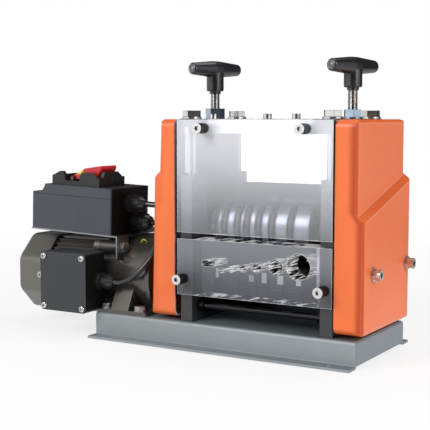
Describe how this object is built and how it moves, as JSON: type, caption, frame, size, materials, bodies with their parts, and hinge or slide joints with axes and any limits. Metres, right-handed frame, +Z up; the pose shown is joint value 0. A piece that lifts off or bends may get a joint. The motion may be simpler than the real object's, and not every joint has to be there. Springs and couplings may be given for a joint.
{
  "type": "wire stripping machine",
  "caption": "Motor-driven cable stripper: feed roller and disc blades behind a clear drilled guide block, T-handle adjusters, side covers, gear motor, switch box and mains lead.",
  "frame": {"origin": "centre of the four bolt holes in the base's flanges, on their underside", "axes": "+X along the base from the motor towards the geared end, +Y from the feeding side to the outlet side, +Z up"},
  "size_m": [0.5304, 0.3117, 0.3523],
  "materials": {
    "base_paint": "satin grey paint",
    "frame_paint": "charcoal satin paint",
    "orange_paint": "orange gloss paint",
    "motor_paint": "brown grey satin paint",
    "plated_steel": "bright zinc plated",
    "ground_steel": "turned and ground",
    "blade_steel": "hardened and ground",
    "block_metal": "machined grey iron",
    "plate_metal": "machined aluminium",
    "bearing_steel": "polished rings",
    "clear_acrylic": "clear polished acrylic",
    "core_iron": "laminated core",
    "black_plastic": "black satin",
    "dark_plastic": "dark grey fine grain",
    "red_plastic": "red gloss",
    "green_plastic": "green gloss",
    "cord_rubber": "black sheath"
  },
  "bodies": {
    "frame": {"base_channel": "base_paint", "base_bolts": "plated_steel", "left_side_frame": "frame_paint", "right_side_frame": "frame_paint", "top_plate": "plate_metal", "top_plate_bolts": "plated_steel", "adjuster_nuts": "plated_steel", "left_cover": "orange_paint", "right_cover": "orange_paint", "cover_bolts": "plated_steel", "cover_standoffs": "plated_steel", "upper_guard": "clear_acrylic", "knurled_screws": "plated_steel", "guide_block": "clear_acrylic", "tie_rod": "plated_steel", "tie_rod_nuts": "plated_steel", "rear_plate": "frame_paint", "cap_screws": "plated_steel", "lower_bearing_blocks": "block_metal", "lower_bearings": "bearing_steel", "lift_springs": "ground_steel", "motor_housing": "motor_paint", "motor_end_cap": "motor_paint", "small_screws": "plated_steel", "motor_stator": "core_iron", "gearbox_housing": "motor_paint", "gearbox_tie_bolts": "plated_steel", "drive_bearings": "bearing_steel", "terminal_box": "dark_plastic", "terminal_box_lid": "dark_plastic", "cable_glands": "black_plastic", "motor_cable": "cord_rubber", "switch_bracket": "plated_steel", "switch_box": "dark_plastic", "switch_box_lid": "dark_plastic", "switch_module": "black_plastic", "mains_cord": "cord_rubber", "mains_cord_coil": "cord_rubber", "mains_plug": "cord_rubber"},
    "upper_carriage": {"upper_bearing_blocks": "block_metal", "upper_bearings": "bearing_steel"},
    "left_adjuster": {"left_adjusting_screw": "plated_steel", "left_t_handle": "black_plastic"},
    "right_adjuster": {"right_adjusting_screw": "plated_steel", "right_t_handle": "black_plastic"},
    "blade_arbor": {"blade_shaft": "ground_steel", "stripping_blades": "blade_steel", "blade_spacers": "ground_steel", "upper_gear": "ground_steel"},
    "feed_arbor": {"feed_shaft": "ground_steel", "feed_roller": "ground_steel", "lower_gear": "ground_steel", "output_shaft": "ground_steel", "shaft_coupling": "plate_metal"},
    "rotor": {"motor_rotor": "core_iron", "motor_fan": "black_plastic"},
    "layshaft": {"countershaft": "ground_steel"},
    "flap": {"stop_flap": "red_plastic"},
    "green_key": {"start_button": "green_plastic"},
    "red_key": {"stop_button": "red_plastic"}
  },
  "joints": [
    {"name": "left_adjuster_turn", "type": "hinge", "parent": "upper_carriage", "child": "left_adjuster", "pos_m": [-0.046, 0, 0.26], "axis": [0, 0, 1], "range_deg": [-823, 618]},
    {"name": "right_adjuster_turn", "type": "hinge", "parent": "upper_carriage", "child": "right_adjuster", "pos_m": [0.142, 0, 0.26], "axis": [0, 0, 1], "range_deg": [-823, 618]},
    {"name": "carriage_slide", "type": "slide", "parent": "frame", "child": "upper_carriage", "axis": [0, 0, 1], "range_m": [-0.004, 0.003], "stiffness_N_per_m": 8000, "springref_m": 0.0098, "deforming": ["lift_springs"]},
    {"name": "feed_spin", "type": "hinge", "parent": "frame", "child": "feed_arbor", "pos_m": [0.048, 0, 0.075], "axis": [1, 0, 0], "continuous": true},
    {"name": "blade_spin", "type": "hinge", "parent": "upper_carriage", "child": "blade_arbor", "pos_m": [0.048, 0, 0.147], "axis": [1, 0, 0], "continuous": true},
    {"name": "layshaft_spin", "type": "hinge", "parent": "frame", "child": "layshaft", "pos_m": [-0.15, 0.02555, 0.07016], "axis": [1, 0, 0], "continuous": true},
    {"name": "rotor_spin", "type": "hinge", "parent": "frame", "child": "rotor", "pos_m": [-0.25, 0, 0.0685], "axis": [1, 0, 0], "continuous": true},
    {"name": "stop_flap_hinge", "type": "hinge", "parent": "frame", "child": "flap", "pos_m": [-0.23752, -0.03, 0.20134], "axis": [0, -1, 0], "range_deg": [0, 100]},
    {"name": "start_button_press", "type": "slide", "parent": "frame", "child": "green_key", "axis": [-0.0349, 0, -0.9994], "range_m": [0, 0.003], "stiffness_N_per_m": 300},
    {"name": "stop_button_press", "type": "slide", "parent": "frame", "child": "red_key", "axis": [-0.0349, 0, -0.9994], "range_m": [0, 0.003], "stiffness_N_per_m": 300}
  ],
  "couplings": [
    {"joint": "left_adjuster_turn", "follows": "carriage_slide", "rad_per_m": 3590.4},
    {"joint": "right_adjuster_turn", "follows": "carriage_slide", "rad_per_m": 3590.4},
    {"joint": "blade_spin", "follows": "feed_spin", "ratio": -0.78947},
    {"joint": "layshaft_spin", "follows": "feed_spin", "ratio": -2.7143},
    {"joint": "rotor_spin", "follows": "feed_spin", "ratio": 9.6939}
  ]
}
